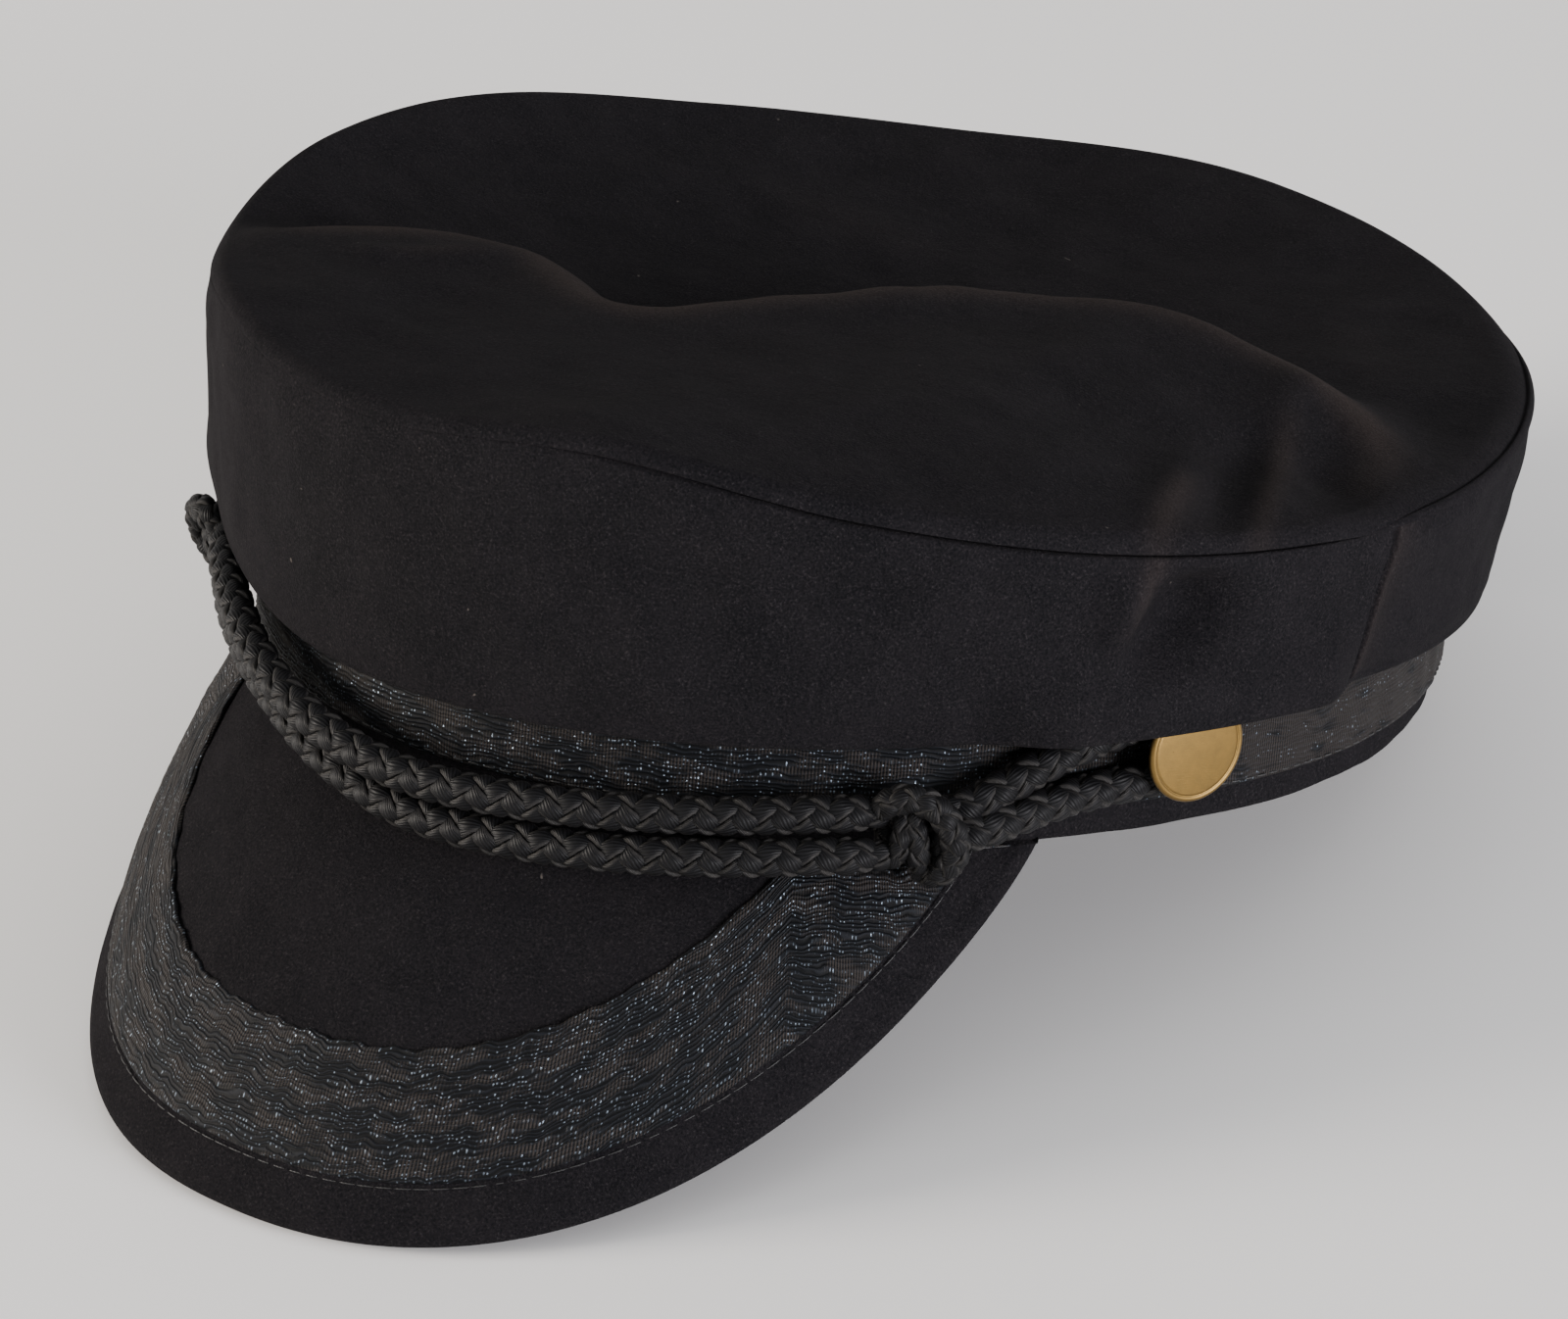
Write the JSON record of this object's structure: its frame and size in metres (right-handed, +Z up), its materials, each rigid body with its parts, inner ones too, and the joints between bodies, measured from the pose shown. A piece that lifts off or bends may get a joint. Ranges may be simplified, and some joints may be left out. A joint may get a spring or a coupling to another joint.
{
  "type": "breton fisherman cap",
  "caption": "Soft flat-crowned fisherman cap in black wool with a ribboned band, a short steep peak, a knotted braided cord and brass buttons, resting on a surface.",
  "frame": {"origin": "bottom centre of the resting cap's bounding box, on the surface that it stands on", "axes": "+Z up, -Y toward the tip of the peak, +X toward the wearer's left"},
  "size_m": [0.1916, 0.264, 0.1013],
  "materials": {
    "wool": "brushed melton wool felt, near black",
    "ribbon": "woven jacquard ribbon with glittering blue-black threads",
    "cord": "braided rayon cord, black, satin",
    "brass": "brushed and slightly dulled brass"
  },
  "bodies": {
    "root": {"headband": "wool", "band_ribbon": "ribbon", "crown_side": "wool", "crown_top": "wool", "peak": "wool", "peak_ribbon": "ribbon", "cord_upper": "cord", "cord_lower": "cord", "cord_loop_left": "cord", "cord_loop_right": "cord", "knot_left": "cord", "knot_right": "cord", "button_left": "brass", "button_right": "brass"}
  },
  "joints": []
}
